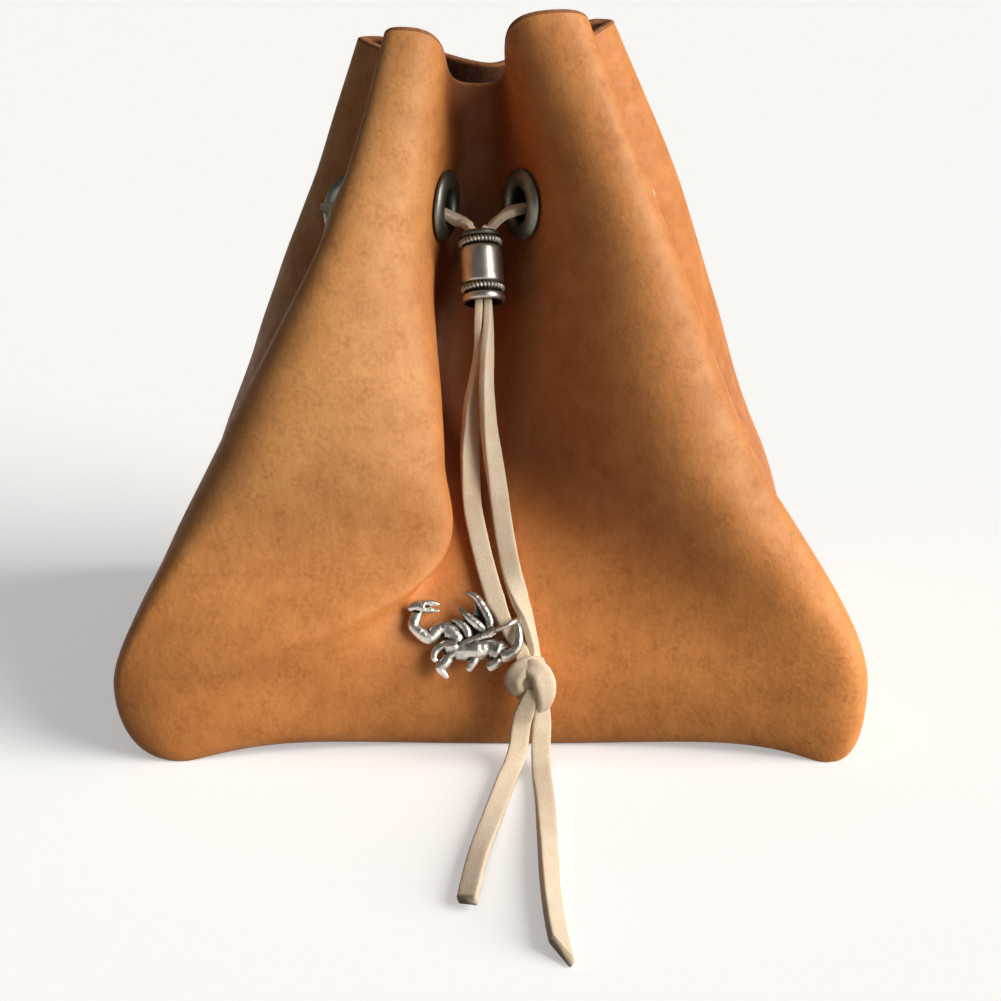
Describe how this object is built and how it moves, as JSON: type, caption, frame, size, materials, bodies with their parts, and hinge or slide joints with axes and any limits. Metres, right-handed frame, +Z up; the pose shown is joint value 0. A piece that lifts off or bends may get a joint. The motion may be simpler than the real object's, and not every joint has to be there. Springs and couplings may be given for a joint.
{
  "type": "leather drawstring pouch",
  "caption": "Gathered leather drawstring pouch standing on its flat base, with eyelets round the neck, a lace through a slide bead, a small cast charm and a knot.",
  "frame": {"origin": "on the floor, at the middle of the flat sole", "axes": "+Z up, -Y to the front where the bead and the charm are, +X to the right as seen from the front"},
  "size_m": [0.1219, 0.1681, 0.1175],
  "materials": {
    "leather": "oiled tan leather, smooth with a fine grain and a mottled tone, darker inside",
    "thong": "pale suede lace, matt, with cut edges",
    "eyelet_metal": "antique gunmetal plating over pressed brass, worn bright on the crown",
    "silver": "antique silver casting, dark in the recesses and bright on the high places"
  },
  "bodies": {
    "root": {"pouch_body": "leather", "eyelet_front_right": "eyelet_metal", "eyelet_right_front": "eyelet_metal", "eyelet_right_back": "eyelet_metal", "eyelet_back_right": "eyelet_metal", "eyelet_back_left": "eyelet_metal", "eyelet_left_back": "eyelet_metal", "eyelet_left_front": "eyelet_metal", "eyelet_front_left": "eyelet_metal", "drawstring_neck": "thong", "strand_left": "thong", "strand_right": "thong", "tail_left": "thong", "tail_right": "thong", "knot": "thong", "bead": "silver", "dragon_charm": "silver"}
  },
  "joints": []
}
